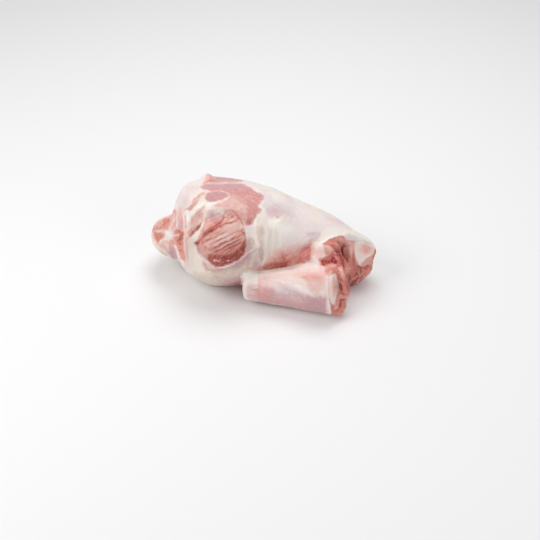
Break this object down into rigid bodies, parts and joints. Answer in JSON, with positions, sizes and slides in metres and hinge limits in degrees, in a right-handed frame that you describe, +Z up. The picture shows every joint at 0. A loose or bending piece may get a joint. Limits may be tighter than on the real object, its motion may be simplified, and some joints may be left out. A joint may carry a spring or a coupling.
{
  "type": "milk-fed lamb leg",
  "caption": "Raw bone-in lamb leg with its shank cut at the knuckle and folded back along the haunch, lying on its side.",
  "frame": {"origin": "centre of the part's bounding box in X and Y, on the surface it rests on", "axes": "+X from the rump to the knuckle along the haunch, -Y towards the folded shank, +Z up"},
  "size_m": [0.2162, 0.136, 0.0982],
  "materials": {
    "raw_lamb": "moist raw meat under pale fat and membrane",
    "bone": "cut wet bone"
  },
  "bodies": {
    "root": {"lamb_leg": "raw_lamb", "knuckle_bone": "bone", "shank_bone": "bone"}
  },
  "joints": []
}
